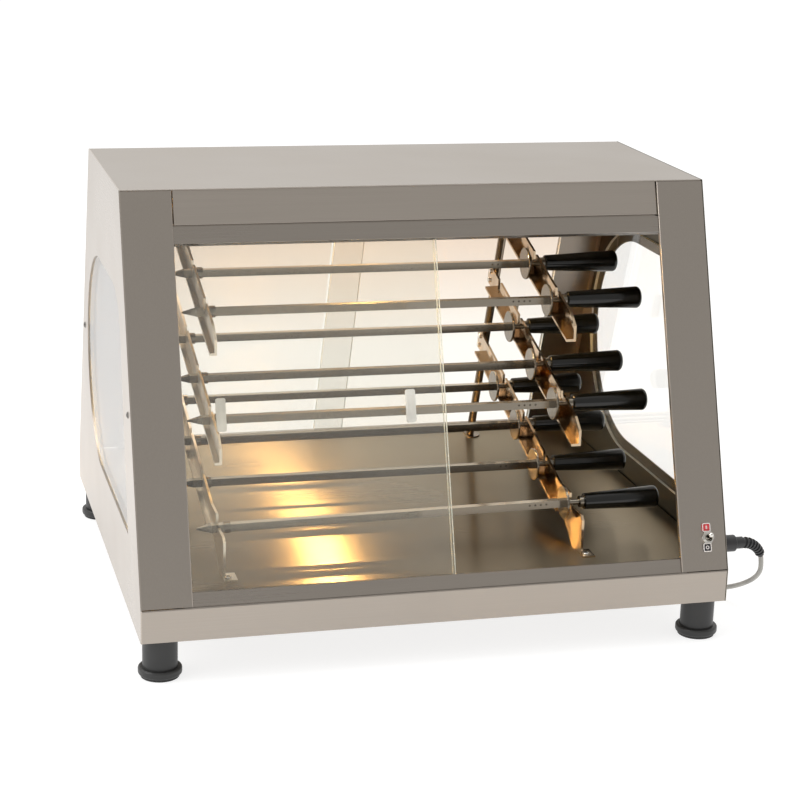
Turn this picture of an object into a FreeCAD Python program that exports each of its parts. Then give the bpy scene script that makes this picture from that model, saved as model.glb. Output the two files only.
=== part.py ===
import FreeCAD, Part
import math
import os
from FreeCAD import Placement, Rotation, Vector

# Heated countertop display cabinet for skewers.
# Millimetres. X to the right, Y to the back, Z up; the origin is the middle of the
# footprint, on the surface that the feet stand on.

os.makedirs("parts", exist_ok=True)

# ---- driving dimensions ------------------------------------------------------------
WIDTH = 700.0            # over the side panels
BASE_DEPTH = 600.0       # over the base band
ROOF_DEPTH = 286.0       # front and rear both lean in towards the roof
FOOT_H = 49.0
BASE_H = 39.0            # upright band below the leaning faces
BODY_H = 480.0           # underside of the base to the roof
SHEET = 1.5
STILE_W = 59.0
HEADER_H = 38.0

WALL_X = WIDTH / 2 - SHEET               # inner side of a side panel
OPENING_X = WIDTH / 2 - STILE_W          # inner edge of a stile
FRONT_Y = -BASE_DEPTH / 2
SILL_Z = FOOT_H + BASE_H                 # where the leaning faces start
ROOF_Z = FOOT_H + BODY_H
LEAN = (BASE_DEPTH - ROOF_DEPTH) / 2 / (ROOF_Z - SILL_Z)
TILT = math.atan(LEAN)
FACE_L = (ROOF_Z - SILL_Z) / math.cos(TILT)

# Door tracks and panes, measured inwards from a leaning face
TRACK_H = 17.0
TRACK_DEPTH = (2.0, 24.0)
TRACK_GROOVE = (4.0, 2.2)    # depth and height of the shadow groove beside header or base
BASE_GAP = 1.0           # between the base band and the stiles
HEADER_GAP = 1.4         # between a header's end and the stile beside it
OUTER_SLOT = (6.0, 12.0)
INNER_SLOT = (16.0, 22.0)
GLASS_T = 4.0
PANE_W = 315.0
PANE_STOP_X = 299.0      # a pane's outer edge against its end stop
PANE_LOW = 5.4
PULL = (11.0, 4.5, 38.0)
PULL_INSET = 48.0        # middle of a pull from the pane's outer edge
PULL_Z = 289.0
REAR_PANE_AJAR = 12.0

# Floor of the heated chamber
FLOOR_Z = 94.5
FLOOR_Y = 270.0

# Side window: straight sill, top and leaning front edge, round at the back
WINDOW_Z = (143.0, 411.0)
WINDOW_R = (WINDOW_Z[1] - WINDOW_Z[0]) / 2
WINDOW_BACK_Y = 45.0     # middle of the round back edge
WINDOW_FRONT_Y = -200.0  # sharp lower corner
WINDOW_LEAN = 0.2456
WINDOW_TOP_R = 70.0

# Racks: a leaning post and three notched angle arms at each side
ARM_X = {"right": 187.5, "left": -245.0}
ARM_T = 3.0
ARM_H = 27.0
ARM_FLANGE_W = {"right": 9.0, "left": 5.5}   # beyond the web, towards the points
LOW_FLANGE_Y = -166.0    # front end of the lowest arm's flange
FOOT_BACK_Y = -206.0
ARM_RISE = 0.30
ARM_EDGE_Z = (421.0, 312.5, 203.0)       # top edge where it crosses y = 0
ARM_TIP_Y = (-173.0, -209.0, -236.0)
NOTCH_DEPTH = 13.0       # skewer centre below the arm's edge
EMPTY_NOTCH_Y = (72.0, 121.0)
POST_R = 5.5
POST_FOOT_Y = 252.0
POST_TOP_Z = 470.0
FRONT_TOOTH_Z = 157.0    # the lower arm's raised front
FRONT_LIP_Z = 143.0

# Skewers: number, arm, y, and how far each one is pushed to the right
SKEWERS = (
    (1, 0, -16.0, 0.0),
    (2, 0, -104.0, 0.0),
    (3, 1, 33.0, -1.0),
    (4, 1, -55.0, 0.0),
    (5, 2, 84.0, -2.0),
    (6, 1, -142.0, 0.5),
    (7, 2, -4.0, 0.0),
    (8, 2, -90.0, -2.0),
    (9, 2, -192.0, 3.0),
)
FRONT_SKEWER_Z = {"right": 146.5, "left": 141.5}
BAR = 9.0
NECK_R = 3.5
GUARD_R = 20.0
TIP_X = -273.0
HANDLE_X = (199.0, 294.0)
HANDLE_R = (9.7, 13.4)

# Lamp below the roof
LAMP_X = -20.0
LAMP_Z = 502.0
LAMP_L = 78.0

# Toggle switch on the front right stile, with a red and a black plate
SWITCH_X = 326.0
SWITCH_Z = 126.0
LABEL_STEP = 11.9
LEVER_TILT = 14.0

# Mains lead: gland on the right side panel, free route, coil and plug
GLAND_Y = -262.0
GLAND_Z = 107.0
CORD_R = 3.0
RELIEF_PATH = (
    (383, -262, 107), (392, -261.5, 105.8), (400, -260, 101.5),
    (407, -258, 95), (412, -255.5, 87),
)
CORD_ROUTE = (
    (412, -255.5, 87), (418, -249, 69), (420, -236, 52), (418, -217, 37),
    (411, -195, 23), (401, -172, 12), (391, -146, 5), (384, -116, 3.2),
    (382, -84, 3.2), (385, -50, 3.2), (389, -16, 3.2), (390, 18, 3.2),
    (388, 52, 3.2), (387, 92, 3.2),
)
COIL_AT = (425.0, 105.0)
COIL_R = 35.0            # middle of the turns
COIL_COLUMNS = 2
COIL_LAYERS = 3
TAIL_ROUTE = (
    (387, 118, 15.2), (387.6, 135, 15.4), (390, 152, 16.4), (394, 168, 17.8),
    (397, 184, 18.5),
)
PLUG_AT = Vector(397, 184, 18.5)


# ---- helpers -----------------------------------------------------------------------
def export(name, shapes):
    """Write one node; several loose pieces go into one compound."""
    shapes = shapes if isinstance(shapes, list) else [shapes]
    solids = [s for shape in shapes for s in shape.Solids]
    shape = solids[0] if len(solids) == 1 else Part.makeCompound(solids)
    if not shape.isValid():
        print("INVALID", name)
    shape.exportStep("parts/" + name + ".step")


def box(x, y, z):
    """A block from its ranges along X, Y and Z."""
    return Part.makeBox(x[1] - x[0], y[1] - y[0], z[1] - z[0], Vector(x[0], y[0], z[0]))


def rod(radius, start, end):
    """A round bar between two points."""
    start = Vector(*start)
    run = Vector(*end) - start
    return Part.makeCylinder(radius, run.Length, start, run)


def plate(points, x, thickness):
    """A flat plate across X from its outline in Y and Z, thickness both sides of x."""
    start = x - thickness / 2
    wire = Part.makePolygon([Vector(start, y, z) for y, z in points + points[:1]])
    return Part.Face(wire).extrude(Vector(thickness, 0, 0))


def fuse(shapes):
    return shapes[0].multiFuse(shapes[1:]).removeSplitter()


def on_face(shape, rear=False):
    """Carry a shape drawn upright behind the plane y = 0 onto a leaning face."""
    moved = shape.copy()
    lean = Placement(Vector(0, FRONT_Y, SILL_Z), Rotation(Vector(1, 0, 0), -math.degrees(TILT)))
    moved.Placement = lean.multiply(moved.Placement)
    if rear:
        moved.rotate(Vector(0, 0, 0), Vector(0, 0, 1), 180)
    return moved


def face_s(z):
    """Distance up a leaning face to a height."""
    return (z - SILL_Z) / math.cos(TILT)


def face_y(z):
    """Front face at a height; the rear face is its mirror image."""
    return FRONT_Y + max(0.0, z - SILL_Z) * LEAN


def both(shape):
    """The front piece and the rear one, turned half round."""
    turned = shape.copy()
    turned.rotate(Vector(0, 0, 0), Vector(0, 0, 1), 180)
    return [shape, turned]


def mirrored_x(shape):
    return shape.mirror(Vector(0, 0, 0), Vector(1, 0, 0))


def edges_at(shape, test):
    """The edges whose middle passes the test."""
    return [e for e in shape.Edges if test(e.CenterOfMass)]


# ---- body --------------------------------------------------------------------------
def base_shell():
    """Pan with upright front and rear walls and a lip under each door track."""
    wall = box((-WALL_X, WALL_X), (FRONT_Y, FRONT_Y + SHEET), (FOOT_H, SILL_Z - SHEET))
    lip = on_face(box((-WALL_X, WALL_X), (0.6, 24), (-SHEET, 0)))
    pan = box((-WALL_X, WALL_X), (FRONT_Y, -FRONT_Y), (FOOT_H, FOOT_H + SHEET))
    shell = fuse([pan] + both(wall) + both(lip))
    return shell.cut(box((-200, 200), (-150, 150), (FOOT_H - 1, FOOT_H + SHEET + 1)))


def bottom_cover():
    """Slotted plate over the hole in the pan."""
    top = FOOT_H + SHEET
    cover = box((-215, 215), (-165, 165), (top, top + 1.2))
    slots = [
        box((x - 20, x + 20), (y - 2.5, y + 2.5), (top - 1, top + 3))
        for x in (-130, -65, 0, 65, 130)
        for y in (-90, -45, 0, 45, 90)
    ]
    return cover.cut(Part.makeCompound(slots))


def floor_plate():
    """Chamber floor with skirts that stand on the pan."""
    side = WALL_X - 1.5
    outer = box((-side, side), (-FLOOR_Y, FLOOR_Y), (FOOT_H + SHEET, FLOOR_Z))
    inner = box(
        (SHEET - side, side - SHEET), (SHEET - FLOOR_Y, FLOOR_Y - SHEET), (0, FLOOR_Z - SHEET)
    )
    hollow = outer.cut(inner)
    # Room for the locknut of the cable gland
    return hollow.cut(box((side - 3, side + 1), (GLAND_Y - 14, GLAND_Y + 14), (90, 93)))


def window_wire(x, grow=0.0):
    """Outline of the side window in the plane x, grown outwards by grow."""
    low = WINDOW_Z[0] - grow
    high = WINDOW_Z[1] + grow
    radius = WINDOW_R + grow
    middle = (low + high) / 2
    slant = math.hypot(1, WINDOW_LEAN)

    def front(z):
        return WINDOW_FRONT_Y + (z - WINDOW_Z[0]) * WINDOW_LEAN - grow * slant

    corner = (front(high), high)
    turn = math.pi / 2 + math.atan(WINDOW_LEAN)
    reach = WINDOW_TOP_R * math.tan((math.pi - turn) / 2)
    along = (WINDOW_LEAN / slant, 1 / slant)
    start = Vector(x, corner[0] - along[0] * reach, high - along[1] * reach)
    end = Vector(x, corner[0] + reach, high)
    centre = Vector(x, end.y, high - WINDOW_TOP_R)
    sway = (start - centre) + (end - centre)
    mid = centre + sway * (WINDOW_TOP_R / sway.Length)
    a = Vector(x, front(low), low)
    b = Vector(x, WINDOW_BACK_Y, low)
    c = Vector(x, WINDOW_BACK_Y, high)
    back = Vector(x, WINDOW_BACK_Y + radius, middle)
    return Part.Wire([
        Part.LineSegment(a, b).toShape(),
        Part.Arc(b, back, c).toShape(),
        Part.LineSegment(c, end).toShape(),
        Part.Arc(end, mid, start).toShape(),
        Part.LineSegment(start, a).toShape(),
    ])


SCREW_Y = (-208.0, 208.0)
SCREW_Z = 287.0


def side_panel(side):
    """One sheet from the base to the roof with the window, screw and gland holes."""
    half = ROOF_DEPTH / 2
    outline = [
        (FRONT_Y, FOOT_H), (FRONT_Y, SILL_Z), (-half, ROOF_Z),
        (half, ROOF_Z), (-FRONT_Y, SILL_Z), (-FRONT_Y, FOOT_H),
    ]
    panel = plate(outline, WALL_X + SHEET / 2, SHEET)
    window = Part.Face(window_wire(WALL_X - 5)).extrude(Vector(10, 0, 0))
    holes = [rod(2.1, (WALL_X - 5, y, SCREW_Z), (WALL_X + 5, y, SCREW_Z)) for y in SCREW_Y]
    if side > 0:
        holes.append(rod(8.1, (WALL_X - 5, GLAND_Y, GLAND_Z), (WALL_X + 5, GLAND_Y, GLAND_Z)))
    panel = panel.cut(Part.makeCompound([window] + holes))
    return panel if side > 0 else mirrored_x(panel)


def side_glass(side):
    pane = Part.Face(window_wire(WALL_X - GLASS_T, 14.0)).extrude(Vector(GLASS_T, 0, 0))
    return pane if side > 0 else mirrored_x(pane)


def glass_clips():
    """A stepped clip at each screw holds the edge of the side glass."""
    clips = []
    inside = WALL_X - GLASS_T
    for y, reach in zip(SCREW_Y, (-170.0, 185.0)):
        z = (SCREW_Z - 9, SCREW_Z + 9)
        tongue = box((inside - 1.5, inside), (min(y - 6, reach), max(y + 6, reach)), z)
        block = box((inside - 1.5, WALL_X), (y - 6, y + 6), z)
        clip = tongue.fuse(block).cut(rod(2.1, (inside - 4, y, SCREW_Z), (WALL_X + 4, y, SCREW_Z)))
        clips += [clip, mirrored_x(clip)]
    return clips


def side_screws():
    """Domed screws through the side panels into the clips."""
    screws = []
    for y in SCREW_Y:
        face = WIDTH / 2
        dome = Part.makeSphere(5.6, Vector(face - 3.6, y, SCREW_Z))
        head = dome.common(box((face, face + 5), (y - 6, y + 6), (SCREW_Z - 6, SCREW_Z + 6)))
        socket = rod(1.4, (face + 0.8, y, SCREW_Z), (face + 5, y, SCREW_Z))
        shank = rod(2.0, (WALL_X - GLASS_T - 1.5, y, SCREW_Z), (face + 0.5, y, SCREW_Z))
        screw = head.fuse(shank).cut(socket)
        screws += [screw, mirrored_x(screw)]
    return screws


def roof_panel():
    """Flat lid with a short fold at each end."""
    half = ROOF_DEPTH / 2 - 0.8
    lid = box((-WALL_X, WALL_X), (-half, half), (ROOF_Z - SHEET, ROOF_Z))
    fold = box((WALL_X - SHEET, WALL_X), (20 - half, half - 20), (ROOF_Z - 14, ROOF_Z))
    return fuse([lid, fold, mirrored_x(fold)])


def below_roof(shape):
    """Trim a face piece level with the underside of the roof and just above the base."""
    return shape.common(box((-400, 400), (-400, 400), (SILL_Z + BASE_GAP, ROOF_Z - SHEET)))


def headers():
    """Folded rail over each door opening, set back a little from the stiles."""
    low = face_s(ROOF_Z - HEADER_H)
    x = (HEADER_GAP - OPENING_X, OPENING_X - HEADER_GAP)
    rail = box(x, (2.0, 3.5), (low, FACE_L + 10))
    fold = box(x, (2.0, 22.0), (low, low + SHEET))
    top = box(x, (face_y(ROOF_Z) + 8, -112), (ROOF_Z - 2 * SHEET, ROOF_Z - SHEET))
    shape = fuse([below_roof(on_face(rail)), on_face(fold), top])
    return both(shape)


def stile(side, pierced):
    """Folded corner strip: wide face, short fold at the opening, flange along the panel."""
    strip = box((OPENING_X, WALL_X), (0, SHEET), (-20, FACE_L + 20))
    flange = box((WALL_X - SHEET, WALL_X), (0, 11), (-20, FACE_L + 20))
    low, high = TRACK_H + 1, face_s(ROOF_Z - HEADER_H) - 22
    fold = box((OPENING_X, OPENING_X + SHEET), (0, 5), (low, high))
    shape = fuse([strip, flange, fold])
    corner = edges_at(
        shape, lambda c: abs(c.x - OPENING_X) < 0.1 and abs(c.y) < 0.1 and low < c.z < high
    )
    shape = shape.makeFillet(1.2, corner)
    if pierced:
        s = face_s(SWITCH_Z)
        shape = shape.cut(rod(5.7, (SWITCH_X, -5, s), (SWITCH_X, 5, s)))
    shape = below_roof(on_face(shape))
    return shape if side > 0 else mirrored_x(shape)


def track(upper):
    """Grooved rail that guides two panes past each other."""
    x = (-300.0, 300.0)
    if upper:
        high = face_s(ROOF_Z - HEADER_H)
        low = high - TRACK_H * 1.25
        slots = (low - 1, high - 5)
    else:
        low, high = 0.0, TRACK_H
        slots = (low + 5, high + 1)
    rail = box(x, TRACK_DEPTH, (low, high))
    groove_depth, groove_h = TRACK_GROOVE
    front = TRACK_DEPTH[0]
    groove = (high - groove_h, high + 1) if upper else (low - 1, low + groove_h / 2)
    rail = rail.cut(box((-301, 301), (front - 1, front + groove_depth), groove))
    for slot in (OUTER_SLOT, INNER_SLOT):
        rail = rail.cut(box((-301, 301), slot, slots))
    return both(on_face(rail))


def foot_shapes():
    """Four round feet with a flange, each on a thin pad."""
    feet = []
    pads = []
    for x in (-325, 325):
        for y in (-275, 275):
            tube = Part.makeCylinder(20, FOOT_H - 3, Vector(x, y, 3))
            flange = Part.makeCylinder(25, 9, Vector(x, y, 3))
            foot = fuse([tube, flange])
            rims = [
                e for e in foot.Edges
                if hasattr(e.Curve, "Radius") and abs(e.Curve.Radius - 25) < 0.1
            ]
            feet.append(foot.makeFillet(2.5, rims))
            pads.append(Part.makeCylinder(22, 3, Vector(x, y, 0)))
    return feet, pads


# ---- doors -------------------------------------------------------------------------
def pane(left_x, slot, rear=False):
    """Sliding glass pane; left_x is its edge seen from its own side."""
    middle = (slot[0] + slot[1]) / 2
    high = face_s(ROOF_Z - HEADER_H) - 11.8
    depth = (middle - GLASS_T / 2, middle + GLASS_T / 2)
    shape = box((left_x, left_x + PANE_W), depth, (PANE_LOW, high))
    return on_face(shape.makeChamfer(0.4, shape.Edges), rear)


def pull(centre_x, slot, rear=False):
    """Finger pull glued to the outside of a pane, with a shallow dish."""
    face = (slot[0] + slot[1]) / 2 - GLASS_T / 2
    s = face_s(PULL_Z)
    half = PULL[0] / 2
    block = box((centre_x - half, centre_x + half), (face - PULL[1], face),
                (s - PULL[2] / 2, s + PULL[2] / 2))
    upright = edges_at(block, lambda c: abs(abs(c.x - centre_x) - half) < 0.01
                       and abs(abs(c.z - s) - PULL[2] / 2) < 0.01)
    block = block.makeFillet(2.5, upright)
    dish_r = 60.0
    centre_y = face - PULL[1] + 1.4 - dish_r
    dish = rod(dish_r, (centre_x - 3.6, centre_y, s), (centre_x + 3.6, centre_y, s))
    return on_face(block.cut(dish), rear)


# ---- racks and skewers -------------------------------------------------------------
def arm_edge(arm, y):
    """Height of an arm's top edge."""
    return ARM_EDGE_Z[arm] + ARM_RISE * y


def post_y(z):
    return POST_FOOT_Y - (z - FLOOR_Z) * LEAN


def post_crossing(arm):
    """Where the middle line of an arm meets the post."""
    # z = edge(y) - H/2 and y = foot - (z - floor) * lean
    flat = ARM_EDGE_Z[arm] - ARM_H / 2
    z = (flat + ARM_RISE * (POST_FOOT_Y + FLOOR_Z * LEAN)) / (1 + ARM_RISE * LEAN)
    return post_y(z), z


def skewer_z(arm, y, side):
    """Height of a skewer's centre line where it crosses an arm."""
    if y < -150:
        return FRONT_SKEWER_Z[side]
    return arm_edge(arm, y) - NOTCH_DEPTH


def arm_plate(arm, side):
    """Notched angle from its front tip to the post; the lowest one stands on the floor."""
    x = ARM_X[side]
    tip = ARM_TIP_Y[arm]
    back = post_crossing(arm)[0] + POST_R + 3

    def low(y):
        return arm_edge(arm, y) - ARM_H

    outline = [(back, low(back)), (back, arm_edge(arm, back))]
    if arm == 2:
        start = LOW_FLANGE_Y
        outline += [(-152.0, arm_edge(arm, -152.0)), (-181.0, FRONT_TOOTH_Z)]
        outline += [(-192.0, FRONT_TOOTH_Z), (-194.0, FRONT_LIP_Z), (-230.0, FRONT_LIP_Z)]
        outline += [(tip, FRONT_LIP_Z - 5), (tip, FLOOR_Z), (FOOT_BACK_Y, FLOOR_Z)]
        outline += [(start, low(start))]
    else:
        start = tip
        outline += [(tip + 17, arm_edge(arm, tip + 17)), (tip, arm_edge(arm, tip + 17) - 13)]
        outline += [(tip, low(tip))]
    shape = plate(outline, x, ARM_T)
    # The flange along the web's lower edge stops short of the post
    end = back - 2 * POST_R - 6
    strip = [(start, low(start)), (end, low(end)), (end, low(end) + ARM_T),
             (start, low(start) + ARM_T)]
    width = ARM_FLANGE_W[side]
    overlap = 1.0
    middle = x - ARM_T / 2 - (width - overlap) / 2
    shape = fuse([shape, plate(strip, middle, width + overlap)])
    if arm == 2:
        tab = box((x - ARM_T / 2, x + 14), (tip - 10, tip + 14), (FLOOR_Z, FLOOR_Z + 2))
        shape = fuse([shape, tab])
    places = [y for _, a, y, _ in SKEWERS if a == arm]
    if arm < 2:
        places.append(EMPTY_NOTCH_Y[arm])
    for y in places:
        shape = shape.cut(notch(x, y, skewer_z(arm, y, side), side))
    return shape


def notch(x, y, z, side):
    """Upright slot: round bottomed for a neck on the right, square for a bar on the left."""
    thick = (x - 5, x + 5)
    if side == "right":
        radius = NECK_R + 0.75
        seat = z - NECK_R - 0.2 + radius
        slot = box(thick, (y - radius, y + radius), (seat, z + 40))
        return slot.fuse(rod(radius, (x - 5, y, seat), (x + 5, y, seat)))
    half = BAR / 2 + 0.75
    return box(thick, (y - half, y + half), (z - BAR / 2 - 0.2, z + 40))


def post(side):
    """Round post that leans with the rear doors, on a small floor flange."""
    away = 1 if side == "right" else -1
    x = ARM_X[side] + away * (ARM_T / 2 + POST_R)
    start = (x, post_y(FLOOR_Z - 20), FLOOR_Z - 20)
    end = (x, post_y(POST_TOP_Z + 20), POST_TOP_Z + 20)
    level = box((x - 30, x + 30), (0, 300), (FLOOR_Z, POST_TOP_Z))
    leaning = rod(POST_R, start, end).common(level)
    flange = Part.makeCylinder(14, 2.5, Vector(x, POST_FOOT_Y, FLOOR_Z))
    clear = box(sorted((ARM_X[side] - away * 20, ARM_X[side] + away * ARM_T / 2)),
                (200, 300), (FLOOR_Z - 1, FLOOR_Z + 5))
    return fuse([leaning, flange.cut(clear)])


def rack_screws(side):
    """Two button screws through each arm into the post, and one down through its foot."""
    away = 1 if side == "right" else -1
    face = ARM_X[side] - away * ARM_T / 2
    screws = []
    for arm in range(3):
        y, z = post_crossing(arm)
        for step in (-7.0, 7.0):
            at = (y - step * math.sin(TILT), z + step * math.cos(TILT))
            head = rod(3.8, (face, *at), (face - away * 2.4, *at))
            crown = [e for e in head.Edges if abs(e.CenterOfMass.x - face) > 2]
            screws.append(head.makeFillet(1.2, crown[:1]))
    foot = (ARM_X[side] + 3.5, ARM_TIP_Y[2] - 5)
    head = rod(4.0, (*foot, FLOOR_Z + 2), (*foot, FLOOR_Z + 5.4))
    crown = [e for e in head.Edges if e.CenterOfMass.z > FLOOR_Z + 5]
    screws.append(head.makeFillet(1.5, crown[:1]))
    return screws


def along_bar(shape, y, z_left, z_right, shift):
    """Put a piece drawn along X, level with the arms' notches, onto its skewer's line."""
    span = ARM_X["right"] - ARM_X["left"]
    angle = math.degrees(math.atan2(z_right - z_left, span))
    moved = shape.copy()
    moved.rotate(Vector(ARM_X["right"], 0, 0), Vector(0, 1, 0), -angle)
    moved.translate(Vector(shift, y, z_right))
    return moved


def skewer_steel():
    """Pointed square bar, stop collar, guard disc, round neck and ferrule, along X."""
    half = BAR / 2
    shoulder = TIP_X + 17
    guard = 173.0
    bar = box((shoulder, guard), (-half, half), (-half, half))
    base = Part.makePolygon([
        Vector(shoulder, -half, -half), Vector(shoulder, half, -half),
        Vector(shoulder, half, half), Vector(shoulder, -half, half),
        Vector(shoulder, -half, -half),
    ])
    flat = Part.makePolygon([
        Vector(TIP_X, -0.8, -0.8), Vector(TIP_X, 0.8, -0.8),
        Vector(TIP_X, 0.8, 0.8), Vector(TIP_X, -0.8, 0.8), Vector(TIP_X, -0.8, -0.8),
    ])
    point = Part.makeLoft([flat, base], True, True)
    collar = rod(7.0, (-241, 0, 0), (-234, 0, 0))
    disc = rod(GUARD_R, (guard, 0, 0), (guard + 3, 0, 0))
    rims = [e for e in disc.Edges if hasattr(e.Curve, "Radius")]
    disc = disc.makeFillet(1.0, rims)
    neck = rod(NECK_R, (guard + 2, 0, 0), (HANDLE_X[0], 0, 0))
    ferrule = rod(7.0, (HANDLE_X[0] - 5, 0, 0), (HANDLE_X[0], 0, 0))
    steel = fuse([bar, point, collar, disc, neck, ferrule])
    dots = [
        Part.makeSphere(1.2, Vector(guard - 22 - 7 * i, -half, 0.8)) for i in range(4)
    ]
    return steel.cut(Part.makeCompound(dots))


def skewer_handle():
    """Turned handle, thicker towards its rounded end."""
    start, end = HANDLE_X
    profile = [
        Vector(start, 0, 0), Vector(start, HANDLE_R[0] - 1.2, 0),
        Vector(start + 1.2, HANDLE_R[0], 0), Vector(end - 5, HANDLE_R[1], 0),
    ]
    edges = [Part.LineSegment(a, b).toShape() for a, b in zip(profile, profile[1:])]
    r = HANDLE_R[1]
    knee = Vector(end - 5 + 5 * math.sin(math.pi / 4), r - 5 + 5 * math.cos(math.pi / 4), 0)
    edges.append(Part.Arc(profile[-1], knee, Vector(end, r - 5, 0)).toShape())
    edges.append(Part.LineSegment(Vector(end, r - 5, 0), Vector(end, 0, 0)).toShape())
    edges.append(Part.LineSegment(Vector(end, 0, 0), profile[0]).toShape())
    face = Part.Face(Part.Wire(edges))
    return face.revolve(Vector(0, 0, 0), Vector(1, 0, 0), 360)


# ---- lamp --------------------------------------------------------------------------
def lamp_reflector():
    """Folded trough hung from the roof by two studs."""
    wings = [(-46, 494), (-24, 519), (24, 519), (46, 494)]
    skin = [(y, z + 1.4) for y, z in reversed(wings)]
    trough = plate(wings + skin, LAMP_X, 170)
    studs = [
        rod(4, (LAMP_X + dx, 0, 519.5), (LAMP_X + dx, 0, ROOF_Z - SHEET)) for dx in (-65, 65)
    ]
    return fuse([trough] + studs)


def lamp_holders():
    """Ceramic end blocks between the reflector and the tube."""
    blocks = []
    for side in (-1, 1):
        near = LAMP_X + side * LAMP_L / 2
        far = near + side * 12
        block = box(sorted((near, far)), (-9, 9), (LAMP_Z - 9, 519))
        blocks.append(block.makeChamfer(1.5, edges_at(block, lambda c: c.z < LAMP_Z - 8.9)))
    return blocks


def lamp_tube():
    """Short linear halogen tube with its evacuation tip."""
    half = LAMP_L / 2
    glass = rod(5.0, (LAMP_X - half + 7, 0, LAMP_Z), (LAMP_X + half - 7, 0, LAMP_Z))
    ends = rod(3.6, (LAMP_X - half, 0, LAMP_Z), (LAMP_X + half, 0, LAMP_Z))
    tip = Part.makeSphere(1.6, Vector(LAMP_X, 0, LAMP_Z - 5))
    return fuse([glass, ends, tip])


# ---- switch ------------------------------------------------------------------------
def hexagon(across, x, z, y):
    """Six sided block about a point, flats level, between two depths."""
    radius = across / math.sqrt(3)
    points = [
        Vector(x + radius * math.cos(i * math.pi / 3), y[0], z + radius * math.sin(i * math.pi / 3))
        for i in range(7)
    ]
    return Part.Face(Part.makePolygon(points)).extrude(Vector(0, y[1] - y[0], 0))


def switch_body():
    """Threaded bush with its nut in front, and the body behind the stile."""
    s = face_s(SWITCH_Z)
    nut = hexagon(14.0, SWITCH_X, s, (-2.6, 0))
    bush = rod(5.5, (SWITCH_X, -5.5, s), (SWITCH_X, SHEET, s))
    body = box((SWITCH_X - 7, SWITCH_X + 7), (SHEET, 24), (s - 13, s + 13))
    terminals = [box((SWITCH_X - 3, SWITCH_X + 3), (24, 31), (s + dz, s + dz + 0.8))
                 for dz in (-9, -0.4, 8)]
    shape = fuse([nut, bush, body] + terminals)
    mouth = Part.makeCone(4.9, 3.4, 9, Vector(SWITCH_X, -5.6, s), Vector(0, 1, 0))
    return on_face(shape.cut(mouth))


def toggle_lever():
    """Bat shaped lever, resting towards the red plate."""
    s = face_s(SWITCH_Z)
    ball = Part.makeSphere(2.9, Vector(0, 0, 0))
    stem = Part.makeCone(1.9, 3.0, 12.0, Vector(0, 0, 0), Vector(0, -1, 0))
    end = Part.makeSphere(3.0, Vector(0, -12.0, 0))
    lever = fuse([ball, stem, end])
    lever.rotate(Vector(0, 0, 0), Vector(1, 0, 0), -LEVER_TILT)
    lever.translate(Vector(SWITCH_X, -0.2, s))
    return on_face(lever)


def label(step):
    """Small rounded plate with a raised field, above or below the switch."""
    s = face_s(SWITCH_Z) + step
    rim = box((SWITCH_X - 6.5, SWITCH_X + 4.5), (-0.8, 0), (s - 4.4, s + 4.4))
    rim = rim.makeFillet(1.5, edges_at(rim, lambda c: abs(c.y + 0.4) < 0.01))
    field = box((SWITCH_X - 5.0, SWITCH_X + 3.0), (-1.2, -0.8), (s - 2.6, s + 2.6))
    return on_face(rim.fuse(field))


# ---- mains lead --------------------------------------------------------------------
def cable_gland():
    """Collar, hexagon and thread through the side panel, with a locknut inside."""
    face = WIDTH / 2
    centre = (GLAND_Y, GLAND_Z)
    collar = rod(10.2, (face, *centre), (373, *centre))
    rims = [e for e in collar.Edges if e.CenterOfMass.x > 372.9]
    collar = collar.makeFillet(1.5, rims)
    sleeve = rod(7.3, (372, *centre), (383, *centre))
    thread = rod(8.0, (WALL_X - 4, *centre), (face + 1, *centre))
    locknut = rod(11.5, (WALL_X - 3.5, *centre), (WALL_X, *centre))
    return fuse([collar, sleeve, thread, locknut])


def strain_relief():
    """Ribbed sleeve that tapers and bends down along its path."""
    points = [Vector(*p) for p in RELIEF_PATH]
    pieces = []
    steps = 8
    path = rounded_path(points)
    length = path.Length
    places = path.discretize(steps + 1)
    for i in range(steps):
        a, b = places[i], places[i + 1]
        r = 5.6 - 1.5 * i / steps
        run = b - a
        pieces.append(Part.makeCone(r, r - 0.2, run.Length, a, run))
        if i:
            pieces.append(Part.makeSphere(r, a))
            rib = Part.makeCylinder(r + 1.6, 2.2, a - run * (1.1 / run.Length), run)
            pieces.append(rib)
    print("strain relief length %.1f" % length)
    return fuse(pieces)


def rounded_path(points, report=None):
    """Straight runs joined by arcs; each arc is as large as its two runs allow."""
    edges = []
    here = points[0]
    for before, at, after in zip(points, points[1:], points[2:]):
        back = before - at
        ahead = after - at
        shorter = min(back.Length, ahead.Length)
        turn = math.pi - back.getAngle(ahead)
        reach = 0.45 * shorter
        radius = reach / math.tan(turn / 2)
        start = at + back * (reach / back.Length)
        end = at + ahead * (reach / ahead.Length)
        inward = (start + end) * 0.5 - at
        middle = at + inward * ((radius / math.cos(turn / 2) - radius) / inward.Length)
        edges.append(Part.LineSegment(here, start).toShape())
        edges.append(Part.Arc(start, middle, end).toShape())
        here = end
        if report is not None:
            report.append(radius)
    edges.append(Part.LineSegment(here, points[-1]).toShape())
    return Part.Wire(edges)


def cord(route, name):
    """Round tube along a route, compared with its section times its length."""
    points = [Vector(*p) for p in route]
    radii = []
    path = rounded_path(points, radii)
    run = points[1] - points[0]
    disc = Part.Wire(Part.makeCircle(CORD_R, points[0], run))
    tube = path.makePipeShell([disc], True, False)
    wanted = math.pi * CORD_R ** 2 * path.Length
    print(name, "length %.1f" % path.Length, "volume ratio %.4f" % (tube.Volume / wanted))
    print(name, "radii", [round(r) for r in radii])
    return tube


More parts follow.
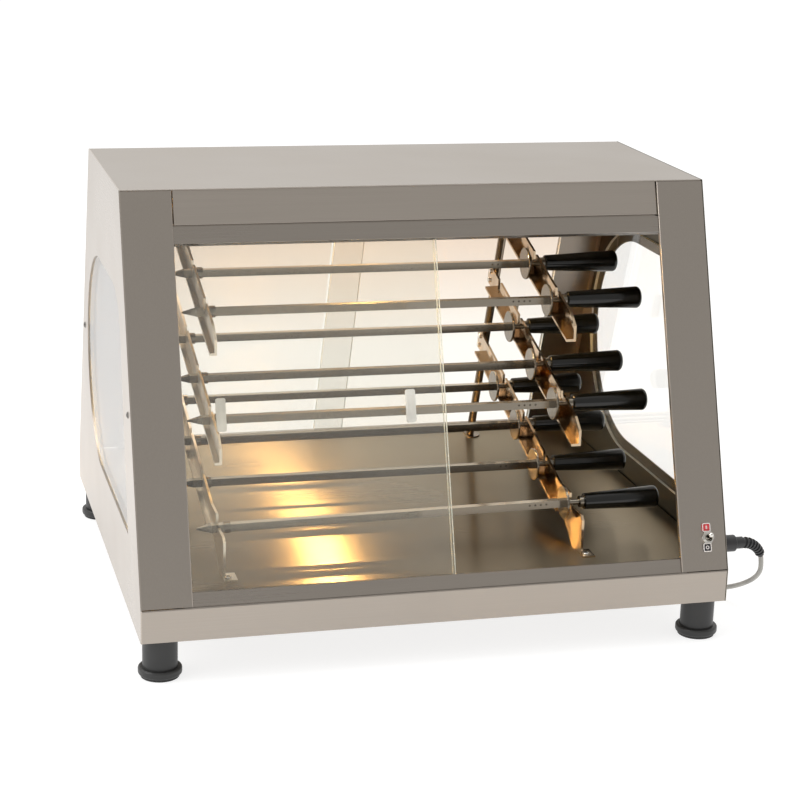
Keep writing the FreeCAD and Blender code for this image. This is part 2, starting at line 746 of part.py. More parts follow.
def cord_coil():
    """Outer shape of the put away turns."""
    width = COIL_COLUMNS * 2 * CORD_R
    height = COIL_LAYERS * 2 * CORD_R
    at = Vector(*COIL_AT, 0.2)
    ring = Part.makeCylinder(COIL_R + width / 2, height, at)
    ring = ring.cut(Part.makeCylinder(COIL_R - width / 2, height, at))
    return ring.makeFillet(CORD_R * 0.9, [e for e in ring.Edges if hasattr(e.Curve, "Radius")])


def plug():
    """Round two pin mains plug lying on its side, pins to the back."""
    profile = [(0, 0), (0, 4.6), (22, 7.0), (22, 9.5), (30, 12.5), (46, 15.5), (47, 18.3),
               (56, 18.3), (56, 0)]
    wire = Part.makePolygon([Vector(r, y, 0) for y, r in profile + profile[:1]])
    body = Part.Face(wire).revolve(Vector(0, 0, 0), Vector(0, 1, 0), 360)
    pins = []
    for side in (-9.5, 9.5):
        pin = rod(2.4, (side, 55, 0), (side, 75, 0))
        pins.append(pin.makeFillet(1.4, [e for e in pin.Edges if e.CenterOfMass.y > 74.9]))
    shape = fuse([body] + pins)
    shape.translate(PLUG_AT)
    return shape


# ---- build -------------------------------------------------------------------------
export("base_shell", base_shell())
export("bottom_cover", bottom_cover())
export("floor_plate", floor_plate())
for name, side in (("left", -1), ("right", 1)):
    export("side_panel_" + name, side_panel(side))
    export("side_glass_" + name, side_glass(side))
export("glass_clips", glass_clips())
export("side_screws", side_screws())
export("roof_panel", roof_panel())
export("headers", headers())
export("stiles_front", [stile(-1, False), stile(1, True)])
export("stiles_rear", [both(stile(-1, False))[1], both(stile(1, False))[1]])
export("tracks_lower", track(False))
export("tracks_upper", track(True))

feet, foot_pads = foot_shapes()
export("feet", feet)
export("foot_pads", foot_pads)

# Front: the right pane, in the outer slot, stands pushed over the left one.
left = -PANE_STOP_X
export("pane_front_right", pane(left, OUTER_SLOT))
export("pull_front_right", pull(left + PANE_W - PULL_INSET + 5, OUTER_SLOT))
export("pane_front_left", pane(left, INNER_SLOT))
export("pull_front_left", pull(left + PULL_INSET + 5, INNER_SLOT))
# Rear, turned half round: both closed, the inner pane a little ajar.
right = PANE_STOP_X - PANE_W
export("pane_rear_left", pane(right, OUTER_SLOT, True))
export("pull_rear_left", pull(PANE_STOP_X - PULL_INSET, OUTER_SLOT, True))
export("pane_rear_right", pane(left + REAR_PANE_AJAR, INNER_SLOT, True))
export("pull_rear_right", pull(left + REAR_PANE_AJAR + PULL_INSET, INNER_SLOT, True))

export("rack_posts", [post("left"), post("right")])
export("rack_arms_left", [arm_plate(arm, "left") for arm in range(3)])
export("rack_arms_right", [arm_plate(arm, "right") for arm in range(3)])
export("rack_screws", rack_screws("left") + rack_screws("right"))

steel = skewer_steel()
handle = skewer_handle()
for number, arm, y, shift in SKEWERS:
    ends = (skewer_z(arm, y, "left"), skewer_z(arm, y, "right"))
    export("skewer_%d" % number, along_bar(steel, y, *ends, shift))
    export("handle_%d" % number, along_bar(handle, y, *ends, shift))

export("lamp_reflector", lamp_reflector())
export("lamp_holders", lamp_holders())
export("lamp_tube", lamp_tube())

export("switch_body", switch_body())
export("toggle_lever", toggle_lever())
export("label_red", label(LABEL_STEP))
export("label_black", label(-LABEL_STEP))

export("cable_gland", cable_gland())
export("strain_relief", strain_relief())
export("power_cord", cord(CORD_ROUTE, "power_cord"))
export("cord_coil", cord_coil())
export("cord_tail", cord(TAIL_ROUTE, "cord_tail"))
export("plug", plug())
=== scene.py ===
import math

import bmesh
import bpy
from mathutils import Matrix, Vector


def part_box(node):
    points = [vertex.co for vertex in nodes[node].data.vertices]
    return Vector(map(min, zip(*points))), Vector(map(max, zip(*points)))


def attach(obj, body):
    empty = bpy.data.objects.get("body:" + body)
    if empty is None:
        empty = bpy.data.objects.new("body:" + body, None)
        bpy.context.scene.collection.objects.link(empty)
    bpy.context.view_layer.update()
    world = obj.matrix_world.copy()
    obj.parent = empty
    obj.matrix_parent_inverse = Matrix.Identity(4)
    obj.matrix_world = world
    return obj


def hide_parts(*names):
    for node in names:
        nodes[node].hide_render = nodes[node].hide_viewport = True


# Heated countertop display cabinet for skewers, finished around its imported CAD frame.
# Metres, +X to the right, +Y to the back, +Z up; the feet stand on z = 0.

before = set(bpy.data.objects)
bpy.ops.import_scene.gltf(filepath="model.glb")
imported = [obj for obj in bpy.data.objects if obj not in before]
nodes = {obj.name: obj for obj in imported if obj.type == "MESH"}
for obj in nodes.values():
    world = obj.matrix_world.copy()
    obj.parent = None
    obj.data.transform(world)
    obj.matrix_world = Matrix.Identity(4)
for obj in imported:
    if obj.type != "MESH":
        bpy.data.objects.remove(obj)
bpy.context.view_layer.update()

MM = 0.001


# ---- camera ------------------------------------------------------------------------
CAMERA_AT = (-0.6391, -2.4049, 0.9515)
CAMERA_AZIMUTH, CAMERA_ELEVATION, CAMERA_ROLL = (math.radians(a) for a in (15.36, 16.19, 1.73))
CAMERA_LENS, CAMERA_SENSOR = 92.42, 36.0   # millimetres


def add_camera():
    azimuth, elevation = CAMERA_AZIMUTH, CAMERA_ELEVATION
    forward = Vector((
        math.sin(azimuth) * math.cos(elevation),
        math.cos(azimuth) * math.cos(elevation),
        -math.sin(elevation),
    ))
    data = bpy.data.cameras.new("camera")
    data.sensor_width = CAMERA_SENSOR
    data.lens = CAMERA_LENS
    camera = bpy.data.objects.new("camera", data)
    bpy.context.scene.collection.objects.link(camera)
    camera.location = CAMERA_AT
    level = forward.to_track_quat("-Z", "Y")
    camera.rotation_mode = "QUATERNION"
    tilt = Matrix.Rotation(CAMERA_ROLL, 3, "Z").to_quaternion()
    camera.rotation_quaternion = level @ tilt
    bpy.context.scene.camera = camera


add_camera()


# ---- node helpers ------------------------------------------------------------------
class Tree:
    """A material's node tree with short calls for what the finishes repeat."""

    def __init__(self, name):
        self.mat = bpy.data.materials.new(name)
        self.mat.use_nodes = True
        self.tree = self.mat.node_tree
        self.nodes = self.tree.nodes
        self.shader = self.nodes["Principled BSDF"]
        self.out = self.nodes["Material Output"]

    def link(self, a, b):
        self.tree.links.new(a, b)

    def add(self, kind, **values):
        node = self.nodes.new(kind)
        for key, value in values.items():
            setattr(node, key, value)
        return node

    def set(self, **values):
        for key, value in values.items():
            name = key.replace("_", " ").title().replace("Ior", "IOR")
            socket = self.shader.inputs[name]
            if socket.type == "RGBA" and len(value) == 3:
                value = (*value, 1.0)
            socket.default_value = value

    def noise(self, scale, detail=3.0, rough=0.55, offset=(0, 0, 0)):
        """Noise in the part's own space; scale is cells per metre along X, Y and Z."""
        where = self.add("ShaderNodeTexCoord")
        mapping = self.add("ShaderNodeMapping")
        mapping.inputs["Scale"].default_value = scale
        mapping.inputs["Location"].default_value = offset
        tex = self.add("ShaderNodeTexNoise")
        tex.inputs["Scale"].default_value = 1.0
        tex.inputs["Detail"].default_value = detail
        tex.inputs["Roughness"].default_value = rough
        self.link(where.outputs["Object"], mapping.inputs["Vector"])
        self.link(mapping.outputs["Vector"], tex.inputs["Vector"])
        return tex.outputs["Fac"]

    def spread(self, value, low, high, start=0.3, end=0.7):
        """Carry a value from start..end to low..high."""
        node = self.add("ShaderNodeMapRange")
        node.inputs["From Min"].default_value = start
        node.inputs["From Max"].default_value = end
        node.inputs["To Min"].default_value = low
        node.inputs["To Max"].default_value = high
        self.link(value, node.inputs["Value"])
        return node.outputs["Result"]

    def math(self, kind, a, b):
        node = self.add("ShaderNodeMath", operation=kind)
        for socket, value in zip(node.inputs, (a, b)):
            if isinstance(value, (int, float)):
                socket.default_value = value
            else:
                self.link(value, socket)
        return node.outputs[0]

    def mix(self, factor, a, b):
        node = self.add("ShaderNodeMix", data_type="RGBA")
        sockets = [s for s in node.inputs if s.type == "RGBA"]
        self.link(factor, node.inputs[0])
        for socket, value in zip(sockets, (a, b)):
            if isinstance(value, tuple):
                socket.default_value = (*value, 1.0)
            else:
                self.link(value, socket)
        return [s for s in node.outputs if s.type == "RGBA"][0]

    def bump(self, height, strength, distance):
        node = self.add("ShaderNodeBump")
        node.inputs["Strength"].default_value = strength
        node.inputs["Distance"].default_value = distance
        self.link(height, node.inputs["Height"])
        self.link(node.outputs["Normal"], self.shader.inputs["Normal"])


def tone(colour, factor):
    return tuple(min(1.0, c * factor) for c in colour)


# ---- finishes ----------------------------------------------------------------------
def brushed(name, colour, rough, grain, depth=0.05, uneven=0.02, anisotropic=0.0):
    """Ground sheet steel. grain gives cells per metre along each axis; few along the grain."""
    t = Tree(name)
    streak = t.noise(grain, detail=3.0, rough=0.6)
    cloud = t.noise((5, 5, 5), detail=2.0, offset=(3, 1, 7))
    tint = t.mix(t.spread(streak, 0, 1), tone(colour, 0.97), tone(colour, 1.03))
    smudge = t.spread(cloud, 0.0, 0.30)
    t.link(t.mix(smudge, tint, tone(colour, 0.92)), t.shader.inputs["Base Color"])
    uneven_streak = t.spread(streak, rough - uneven, rough + uneven)
    t.link(t.math("ADD", uneven_streak, t.spread(cloud, -0.03, 0.04)),
           t.shader.inputs["Roughness"])
    t.bump(streak, depth, 0.00005)
    t.set(metallic=1.0, anisotropic=anisotropic)
    return t


def plastic(name, colour, rough, grain=900.0, depth=0.10, coat=0.0):
    """Moulded plastic with a fine skin and slightly uneven gloss."""
    t = Tree(name)
    skin = t.noise((grain,) * 3, detail=2.0)
    wear = t.noise((30, 30, 30), detail=3.0, offset=(2, 5, 1))
    t.link(t.mix(t.spread(wear, 0, 1), tone(colour, 0.85), tone(colour, 1.25)),
           t.shader.inputs["Base Color"])
    t.link(t.spread(wear, rough - 0.04, rough + 0.07), t.shader.inputs["Roughness"])
    t.bump(skin, depth, 0.00003)
    t.set(coat_weight=coat, coat_roughness=0.08)
    return t


STEEL = (0.385, 0.345, 0.305)
LAMP_TINTED_STEEL = (0.50, 0.385, 0.26)          # the right arms, tinted orange: painted warm lamp light
PALE_LIT_STEEL = (0.90, 0.82, 0.70)           # the left arms: a lighter copy of the rack steel, painted light
FLOOR_STEEL = (0.35, 0.29, 0.205)
# the bars' brown, and a lighter colour on their upper sides as a painted highlight
BAR_BROWN, BAR_PAINTED_HIGHLIGHT = (0.20, 0.175, 0.14), (0.62, 0.57, 0.48)
PANEL_PAINTED_SHADE = (0.050, 0.050, 0.038)        # the right panel, on its chamber side: painted shade
PANEL_SKIN = 0.3495                       # x just inside the right panel's outer face
ARM_SWELL, ARM_SWELL_CELLS = 2.2 * MM, 38
CLEAN_GLASS = (0.985, 0.985, 0.975)
COATED_GLASS = (0.955, 0.948, 0.925)
# the rear panes' yellow towards the top is a painted glow of the lamp
LAMP_TINTED_GLASS = (0.85, 0.74, 0.64)
WARM_TINT_FROM, WARM_TINT_TO = 0.24, 0.50         # heights between which the pane's see-through tint turns yellow: painted lamp glow
FILM_COLOUR = (0.95, 0.88, 0.76)
GLASS_MIRROR = 0.04                       # share reflected face on
DOOR_HAZE, REAR_HAZE = 0.012, 0.02


def floor_steel():
    t = brushed("floor_steel", FLOOR_STEEL, 0.30, (6, 1800, 1800), 0.010, 0.012, 1.0)
    tangent = t.add("ShaderNodeCombineXYZ")
    tangent.inputs["Y"].default_value = 1.0
    t.link(tangent.outputs["Vector"], t.shader.inputs["Tangent"])
    return t.mat


def wavy_steel(name, colour, rough):
    """Polished strip that isn't quite flat, so what it mirrors breaks into patches."""
    t = brushed(name, colour, rough, (900, 20, 900), uneven=0.03)
    fine = t.shader.inputs["Normal"].links[0].from_node
    swell = t.noise((ARM_SWELL_CELLS,) * 3, detail=0.0, offset=(4, 2, 9))
    wave = t.add("ShaderNodeBump")
    wave.inputs["Strength"].default_value = 0.9
    wave.inputs["Distance"].default_value = ARM_SWELL
    t.link(swell, wave.inputs["Height"])
    t.link(wave.outputs["Normal"], fine.inputs["Normal"])
    return t.mat


def skewer_steel():
    """Bars browned by heat, with a painted highlight: their upper sides are lighter."""
    t = brushed("skewer_steel", BAR_BROWN, 0.16, (8, 900, 900))
    shade = t.shader.inputs["Base Color"].links[0].from_socket
    surface = t.add("ShaderNodeNewGeometry")
    split = t.add("ShaderNodeSeparateXYZ")
    t.link(surface.outputs["Normal"], split.inputs[0])
    # painted highlight: faces turned upwards get the lighter colour
    upper = t.spread(split.outputs["Z"], 0.0, 1.0, 0.55, 0.85)
    t.link(t.mix(upper, shade, BAR_PAINTED_HIGHLIGHT), t.shader.inputs["Base Color"])
    return t.mat


def side_steel():
    """Bright outside; the right panel, behind the handles, is painted dark inside as shade."""
    t = brushed("side_steel", tone(STEEL, 1.25), 0.30, (1100, 8, 1100))
    shade = t.shader.inputs["Base Color"].links[0].from_socket
    where = t.add("ShaderNodeTexCoord")
    split = t.add("ShaderNodeSeparateXYZ")
    t.link(where.outputs["Object"], split.inputs[0])
    # painted shade: the right panel's chamber side gets a near-black base colour
    right = t.math("GREATER_THAN", split.outputs["X"], 0.0)
    inside = t.math("MULTIPLY", right, t.math("LESS_THAN", split.outputs["X"], PANEL_SKIN))
    t.link(t.mix(inside, shade, PANEL_PAINTED_SHADE), t.shader.inputs["Base Color"])
    return t.mat


def covered_strip():
    """Where the two rear panes overlap, as a range in X, and the pane on the outside."""
    low_a, high_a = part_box("pane_rear_left")
    low_b, high_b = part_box("pane_rear_right")
    outer = "pane_rear_left" if high_a.y > high_b.y else "pane_rear_right"
    return (max(low_a.x, low_b.x), min(high_a.x, high_b.x)), outer


COVERED_STRIP, OUTER_PANE = covered_strip()


def clear_glass(name, haze, clean, lamp_tinted, strip=None):
    """Thin pane: see-through, with a reflection that grows at low angles and a film of fat.

    Towards the top its see-through tint turns yellow, a painted glow of the warm lamp.
    The tint leaves out the strip that the other pane covers.
    """
    t = Tree(name)
    t.nodes.remove(t.shader)
    clear = t.add("ShaderNodeBsdfTransparent")
    where = t.add("ShaderNodeTexCoord")
    split = t.add("ShaderNodeSeparateXYZ")
    t.link(where.outputs["Object"], split.inputs[0])
    # painted lamp glow: the see-through tint turns yellow towards the top
    lamp_glow_share = t.spread(split.outputs["Z"], 0, 1, WARM_TINT_FROM, WARM_TINT_TO)
    see_through_tint = t.mix(lamp_glow_share, clean, lamp_tinted)
    if strip:
        covered = t.math("MULTIPLY", t.math("GREATER_THAN", split.outputs["X"], strip[0]),
                         t.math("LESS_THAN", split.outputs["X"], strip[1]))
        see_through_tint = t.mix(covered, see_through_tint, CLEAN_GLASS)
    t.link(see_through_tint, clear.inputs["Color"])
    gloss = t.add("ShaderNodeBsdfGlossy")
    gloss.inputs["Roughness"].default_value = 0.0
    facing = t.add("ShaderNodeLayerWeight")
    facing.inputs["Blend"].default_value = 0.5
    grazing = t.math("POWER", facing.outputs["Facing"], 5.0)
    mirror = t.math("ADD", t.math("MULTIPLY", grazing, 1 - GLASS_MIRROR), GLASS_MIRROR)
    sheen = t.add("ShaderNodeMixShader")
    t.link(mirror, sheen.inputs[0])
    t.link(clear.outputs[0], sheen.inputs[1])
    t.link(gloss.outputs[0], sheen.inputs[2])
    film = t.add("ShaderNodeBsdfDiffuse")
    film.inputs["Color"].default_value = (*FILM_COLOUR, 1)
    dust = t.noise((60, 60, 60), detail=5.0, rough=0.7)
    mixed = t.add("ShaderNodeMixShader")
    t.link(t.spread(dust, haze * 0.8, haze * 1.2), mixed.inputs[0])
    t.link(sheen.outputs[0], mixed.inputs[1])
    t.link(film.outputs[0], mixed.inputs[2])
    t.link(mixed.outputs[0], t.out.inputs["Surface"])
    return t.mat


def edge_glass():
    """Ground and polished pane edge, seen end on through much glass."""
    t = Tree("glass_edge")
    band = t.noise((300, 300, 300), detail=2.0)
    t.link(t.mix(t.spread(band, 0, 1), (0.74, 0.80, 0.70), (0.86, 0.86, 0.76)),
           t.shader.inputs["Base Color"])
    t.link(t.spread(band, 0.18, 0.30), t.shader.inputs["Roughness"])
    t.set(transmission_weight=0.35, ior=1.5)
    return t.mat


def lit_quartz():
    t = Tree("lit_quartz")
    glow = t.noise((90, 400, 400), detail=1.0)
    t.link(t.mix(t.spread(glow, 0, 1), (1.0, 0.80, 0.52), (1.0, 0.90, 0.70)),
           t.shader.inputs["Emission Color"])
    t.set(emission_strength=5.0, base_color=(0.9, 0.85, 0.75), roughness=0.1)
    return t.mat


finish = {
    "body": brushed("body_steel", STEEL, 0.34, (6, 1100, 1100)).mat,
    "upright": brushed("upright_steel", STEEL, 0.34, (1100, 1100, 6)).mat,
    # roof: a darker copy of the body steel, painted shade
    "roof": brushed("roof_steel", tone(STEEL, 0.92), 0.34, (6, 1100, 1100)).mat,
    # headers: a lighter copy of the body steel, painted light
    "header": brushed("header_steel", tone(STEEL, 1.18), 0.34, (6, 1100, 1100)).mat,
    "side": side_steel(),
    "floor": floor_steel(),
    "track": brushed("track_metal", tone(STEEL, 0.94), 0.30, (5, 1200, 1200)).mat,
    # right arms: orange base colour, painted warm lamp light
    "rack": wavy_steel("rack_steel", LAMP_TINTED_STEEL, 0.14),
    # left arms: a lighter copy of the rack steel, painted light
    "left_rack": wavy_steel("left_rack_steel", PALE_LIT_STEEL, 0.30),
    "post": brushed("post_steel", (0.24, 0.195, 0.15), 0.20, (500, 500, 20), 0.04).mat,
    "skewer": skewer_steel(),
    "reflector": brushed("reflector_sheet", (0.86, 0.85, 0.82), 0.22, (8, 600, 600)).mat,
    "screw": brushed("side_screw_steel", (0.17, 0.16, 0.15), 0.28, (700, 700, 700)).mat,
    "bright": brushed("bright_metal", (0.78, 0.76, 0.72), 0.12, (700, 700, 700), 0.05).mat,
    "ceramic": plastic("ceramic", (0.80, 0.77, 0.70), 0.60, 600.0, 0.3).mat,
    "handle": plastic("handle_black", (0.003, 0.003, 0.002), 0.16, 1500.0, 0.02).mat,
    "foot": plastic("foot_black", (0.022, 0.022, 0.022), 0.42, 1100.0, 0.35).mat,
    "rubber": plastic("pad_rubber", (0.030, 0.030, 0.030), 0.75, 1400.0, 0.5).mat,
    "pull": plastic("pull_white", (0.66, 0.64, 0.58), 0.30, 500.0, 0.1, 0.2).mat,
    "gland": plastic("gland_black", (0.028, 0.028, 0.030), 0.38, 900.0, 0.2).mat,
    "cord": plastic("cord_grey", (0.40, 0.39, 0.36), 0.48, 1200.0, 0.2).mat,
    "red": plastic("label_red", (0.62, 0.05, 0.06), 0.35, 600.0, 0.1).mat,
    "black": plastic("label_black", (0.03, 0.028, 0.032), 0.35, 600.0, 0.1).mat,
    "white": plastic("label_white", (0.72, 0.68, 0.65), 0.40, 600.0, 0.1).mat,
    "pane": clear_glass("pane_glass", DOOR_HAZE, CLEAN_GLASS, CLEAN_GLASS),
    "rear_inner": clear_glass("rear_inner_glass", REAR_HAZE, COATED_GLASS, LAMP_TINTED_GLASS),
    "rear_outer": clear_glass("rear_outer_glass", REAR_HAZE, COATED_GLASS, LAMP_TINTED_GLASS,
                              COVERED_STRIP),
    "window": clear_glass("window_glass", DOOR_HAZE, CLEAN_GLASS, CLEAN_GLASS),
    "edge": edge_glass(),
    "lamp": lit_quartz(),
}

CAD_FINISH = {
    "base_shell": "body", "bottom_cover": "body", "roof_panel": "roof", "headers": "header",
    "stiles_front": "upright", "stiles_rear": "upright", "glass_clips": "body",
    "side_panel_left": "side", "side_panel_right": "side", "floor_plate": "floor",
    "tracks_lower": "track", "tracks_upper": "track",
    "rack_posts": "post", "rack_arms_left": "left_rack", "rack_arms_right": "rack",
    "rack_screws": "bright", "side_screws": "screw", "switch_body": "bright",
    "toggle_lever": "bright", "feet": "foot", "foot_pads": "rubber",
    "lamp_reflector": "reflector", "lamp_holders": "ceramic", "lamp_tube": "lamp",
    "cable_gland": "gland", "strain_relief": "gland", "plug": "gland",
    "label_red": "red", "label_black": "black",
}
CAD_FINISH.update({name: "pull" for name in nodes if name.startswith("pull_")})
CAD_FINISH.update({name: "skewer" for name in nodes if name.startswith("skewer_")})
CAD_FINISH.update({name: "handle" for name in nodes if name.startswith("handle_")})


def dress(obj, *keys):
    obj.data.materials.clear()
    for key in keys:
        obj.data.materials.append(finish[key])


for name, key in CAD_FINISH.items():
    dress(nodes[name], key)


# ---- soft edges on the folded sheets -----------------------------------------------
FOLD_RADIUS = 0.4 * MM
FOLD_ANGLE = math.radians(40)             # sharper turns than this are softened


def soften(name, width):
    obj = nodes[name]
    weld = obj.modifiers.new("weld", "WELD")
    weld.merge_threshold = 0.01 * MM
    bevel = obj.modifiers.new("bevel", "BEVEL")
    bevel.width = width
    bevel.segments = 2
    bevel.limit_method = "ANGLE"
    bevel.angle_limit = FOLD_ANGLE
    bevel.harden_normals = True


for name in ("base_shell", "roof_panel", "headers", "stiles_front", "stiles_rear"):
    soften(name, FOLD_RADIUS)


# ---- glass panes -------------------------------------------------------------------
def glass_piece(node, body, clear):
    """The pane's own shape with clear faces and greenish ground edges."""
    source = nodes[node]
    mesh = source.data.copy()
    piece = bpy.data.objects.new(node.replace("pane_", "glass_") + "_pane", mesh)
    bpy.context.scene.collection.objects.link(piece)
    dress(piece, clear, "edge")
    biggest = max(p.area for p in mesh.polygons)
    face_normal = next(p.normal.copy() for p in mesh.polygons if p.area == biggest)
    for polygon in mesh.polygons:
        flat = abs(polygon.normal.dot(face_normal)) > 0.9
        polygon.material_index = 0 if flat else 1
        polygon.use_smooth = False
    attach(piece, body)
    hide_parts(node)


for side in ("left", "right"):
    glass_piece("pane_front_" + side, "door_front_" + side, "pane")
    rear = "pane_rear_" + side
    glass_piece(rear, "door_rear_" + side, "rear_outer" if rear == OUTER_PANE else "rear_inner")
    glass_piece("side_glass_" + side, "cabinet", "window")


# ---- printed marks on the two plates beside the switch -----------------------------
MARK_H = 0.25 * MM
FRAME_OUTER, FRAME_INNER = (5.2 * MM, 2.0 * MM), (4.1 * MM, 1.2 * MM)   # half width, corner
BAR_OUTLINE = (2.0 * MM, 0.4 * MM)
DOT_OUTER, DOT_INNER = 2.2 * MM, 1.3 * MM


def face_frame(node):
    """Middle of a plate's outer face, and the directions right, up and out of it."""
    mesh = nodes[node].data
    out = min(mesh.polygons, key=lambda p: (round(p.normal.y, 2), -p.area)).normal.copy()
    flat = [p for p in mesh.polygons if p.normal.dot(out) > 0.999]
    reach = max(p.center.dot(out) for p in flat)
    flat = [p for p in flat if p.center.dot(out) > reach - 0.05 * MM]
    area = sum(p.area for p in flat)
    middle = sum((p.center * p.area for p in flat), Vector()) / area
    right = Vector((1, 0, 0))
    return middle, right, out.cross(right) * -1, out


def rounded_square(half, radius, steps=6):
    points = []
    for corner, (cx, cy) in enumerate(((1, 1), (-1, 1), (-1, -1), (1, -1))):
        for step in range(steps + 1):
            angle = (corner + step / steps) * math.pi / 2
            points.append((
                (half - radius) * cx + radius * math.cos(angle),
                (half - radius) * cy + radius * math.sin(angle),
            ))
    return points


def circle(radius, steps=28):
    turn = 2 * math.pi / steps
    return [(radius * math.cos(i * turn), radius * math.sin(i * turn)) for i in range(steps)]


def raised_ring(bm, place, outer, inner):
    """A closed band between two outlines with the same number of points."""
    rows = []
    for points, height in ((outer, 0.0), (outer, MARK_H), (inner, MARK_H), (inner, 0.0)):
        rows.append([bm.verts.new(place(x, y, height)) for x, y in points])
    count = len(outer)
    for a, b in zip(rows, rows[1:] + rows[:1]):
        for i in range(count):
            j = (i + 1) % count
            bm.faces.new((a[i], a[j], b[j], b[i]))


def add_mark(name, node, bar):
    """A frame on the plate, with an upright bar or a ring in it."""
    middle, right, up, out = face_frame(node)

    def place(x, y, height):
        return middle + right * x + up * y + out * height

    bm = bmesh.new()
    raised_ring(bm, place, rounded_square(*FRAME_OUTER), rounded_square(*FRAME_INNER))
    if bar:
        edge = [(x * 0.45, y) for x, y in rounded_square(*BAR_OUTLINE)]
        raised_ring(bm, place, edge, [(x * 0.2, y * 0.8) for x, y in edge])
    else:
        raised_ring(bm, place, circle(DOT_OUTER), circle(DOT_INNER))
    bmesh.ops.recalc_face_normals(bm, faces=bm.faces)
    mesh = bpy.data.meshes.new(name)
    bm.to_mesh(mesh)
    bm.free()
    mark = bpy.data.objects.new(name, mesh)
    bpy.context.scene.collection.objects.link(mark)
    mesh.materials.append(finish["white"])
    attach(mark, "cabinet")


add_mark("mark_red", "label_red", True)
add_mark("mark_black", "label_black", False)


# ---- mains lead --------------------------------------------------------------------
CORD_D = 6.0 * MM
CORD_ROUTE = (
    (0.412, -0.2555, 0.087), (0.418, -0.249, 0.069), (0.420, -0.236, 0.052),
    (0.418, -0.217, 0.037), (0.411, -0.195, 0.023), (0.401, -0.172, 0.012),
    (0.391, -0.146, 0.005), (0.384, -0.116, 0.0032), (0.382, -0.084, 0.0032),
    (0.385, -0.050, 0.0032), (0.389, -0.016, 0.0032), (0.390, 0.018, 0.0032),
    (0.388, 0.052, 0.0032), (0.387, 0.092, 0.0032),
)
TAIL_ROUTE = (
    (0.387, 0.118, 0.0152), (0.3876, 0.135, 0.0154), (0.390, 0.152, 0.0164),
    (0.394, 0.168, 0.0178), (0.397, 0.184, 0.0185),
)
COIL_AT = Vector((0.425, 0.105))
COIL_TURNS = (  # radius and height of each turn
    (0.038, 0.0032), (0.032, 0.0032), (0.038, 0.0092),
    (0.032, 0.0092), (0.032, 0.0152), (0.038, 0.0152),
)
TURN_STEPS = 16
TURN_STAYS = 0.72                         # share of a turn before it steps over to the next


def coil_points():
    """Neat turns, wound clockwise from the side nearest the cabinet."""
    points = []
    total = len(COIL_TURNS) * TURN_STEPS
    for step in range(1, total):
        turn, part = divmod(step, TURN_STEPS)
        share = max(0.0, (part / TURN_STEPS - TURN_STAYS) / (1 - TURN_STAYS))
        radius, height = COIL_TURNS[turn]
        if turn + 1 < len(COIL_TURNS):
            radius += (COIL_TURNS[turn + 1][0] - radius) * share
            height += (COIL_TURNS[turn + 1][1] - height) * share
        angle = math.pi - 2 * math.pi * step / TURN_STEPS
        points.append((
            COIL_AT.x + radius * math.cos(angle), COIL_AT.y + radius * math.sin(angle), height
        ))
    return points


def add_cord():
    curve = bpy.data.curves.new("mains_lead", "CURVE")
    curve.dimensions = "3D"
    curve.bevel_depth = CORD_D / 2
    curve.bevel_resolution = 5
    curve.resolution_u = 5
    curve.use_fill_caps = True
    spline = curve.splines.new("NURBS")
    points = [*CORD_ROUTE, *coil_points(), *TAIL_ROUTE]
    spline.points.add(len(points) - 1)
    for point, at in zip(spline.points, points):
        point.co = (*at, 1.0)
    spline.order_u = 3
    spline.use_endpoint_u = True
    lead = bpy.data.objects.new("mains_lead", curve)
    bpy.context.scene.collection.objects.link(lead)
    curve.materials.append(finish["cord"])
    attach(lead, "cabinet")
    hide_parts("power_cord", "cord_coil", "cord_tail")


add_cord()


# ---- setting and light -------------------------------------------------------------
FLOOR_HALF, FLOOR_GLOW = 14.0, 0.77
BACKGROUND, WORLD_COLOUR = 1.15, (1.0, 0.99, 0.97)
WORLD_FRONT, WORLD_REST = 0.56, 1.0       # strength behind the camera and elsewhere
LAMP_POWER, LAMP_COLOUR = 4.7, (1.0, 0.61, 0.22)
FILAMENT_SHARE, FILAMENT_D = 0.62, 0.010  # share of the tube's length, and width
LAMP_DROP = 1.5 * MM                      # from the tube's underside to the light


def add_floor():
    mesh = bpy.data.meshes.new("floor")
    size = FLOOR_HALF
    corners = [(-size, -size, 0), (size, -size, 0), (size, size, 0), (-size, size, 0)]
    mesh.from_pydata(corners, [], [(0, 1, 2, 3)])
    floor = bpy.data.objects.new("floor", mesh)
    bpy.context.scene.collection.objects.link(floor)
    t = Tree("studio_floor")
    cloud = t.noise((0.8, 0.8, 0.8), detail=1.0)
    t.link(t.mix(t.spread(cloud, 0, 1), (0.33, 0.33, 0.33), (0.35, 0.35, 0.35)),
           t.shader.inputs["Base Color"])
    t.set(roughness=0.9, specular_ior_level=0.0, emission_color=(1.0, 1.0, 1.0),
          emission_strength=FLOOR_GLOW)
    mesh.materials.append(t.mat)


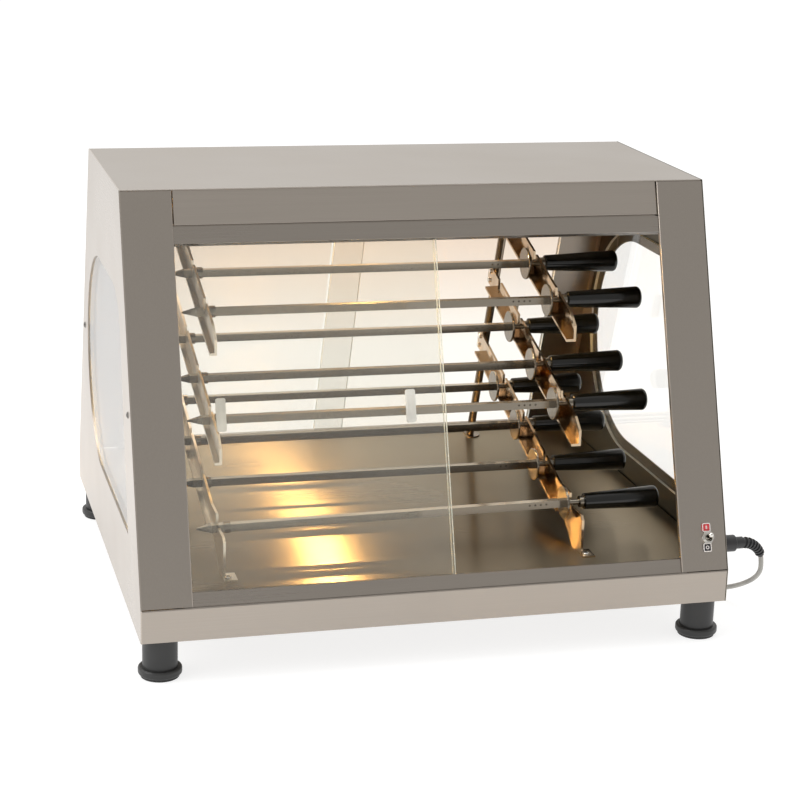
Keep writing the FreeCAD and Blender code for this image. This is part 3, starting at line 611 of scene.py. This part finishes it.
def add_world():
    """White all round, dimmer where the leaning front looks, over the camera's shoulder."""
    world = bpy.data.worlds.new("studio")
    world.use_nodes = True
    tree = world.node_tree
    back = tree.nodes["Background"]
    where = tree.nodes.new("ShaderNodeTexCoord")
    split = tree.nodes.new("ShaderNodeSeparateXYZ")
    ramp = tree.nodes.new("ShaderNodeMapRange")
    ramp.interpolation_type = "SMOOTHSTEP"
    ramp.inputs["From Min"].default_value = -0.75
    ramp.inputs["From Max"].default_value = 0.25
    ramp.inputs["To Min"].default_value = WORLD_FRONT
    ramp.inputs["To Max"].default_value = WORLD_REST
    path = tree.nodes.new("ShaderNodeLightPath")
    bright = tree.nodes.new("ShaderNodeMix")
    bright.inputs[3].default_value = BACKGROUND
    tree.links.new(where.outputs["Generated"], split.inputs[0])
    tree.links.new(split.outputs["Y"], ramp.inputs["Value"])
    tree.links.new(path.outputs["Is Camera Ray"], bright.inputs[0])
    tree.links.new(ramp.outputs["Result"], bright.inputs[2])
    tree.links.new(bright.outputs[0], back.inputs["Strength"])
    back.inputs["Color"].default_value = (*WORLD_COLOUR, 1)
    bpy.context.scene.world = world


def add_area(name, at, toward, size, power, colour=(1, 1, 1)):
    data = bpy.data.lights.new(name, "AREA")
    data.shape = "RECTANGLE"
    data.size, data.size_y = size
    data.energy = power
    data.color = colour
    light = bpy.data.objects.new(name, data)
    bpy.context.scene.collection.objects.link(light)
    light.location = at
    light.rotation_mode = "QUATERNION"
    aim = Vector(toward) - Vector(at)
    light.rotation_quaternion = aim.to_track_quat("-Z", "Y")


def add_lights():
    add_area("softbox_top", (-0.3, 0.5, 2.6), (0, 0, 0.2), (2.4, 2.0), 45)
    add_area("softbox_left", (-2.6, -0.6, 1.6), (0, 0, 0.25), (1.6, 1.6), 30)
    low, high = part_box("lamp_tube")
    middle = (low + high) / 2
    filament = FILAMENT_SHARE * (high.x - low.x)
    add_area("lamp_glow", (middle.x, middle.y, low.z - LAMP_DROP), (middle.x, middle.y, 0),
             (filament, FILAMENT_D), LAMP_POWER, LAMP_COLOUR)


add_floor()
add_world()
add_lights()
bpy.context.scene.view_settings.view_transform = "Standard"
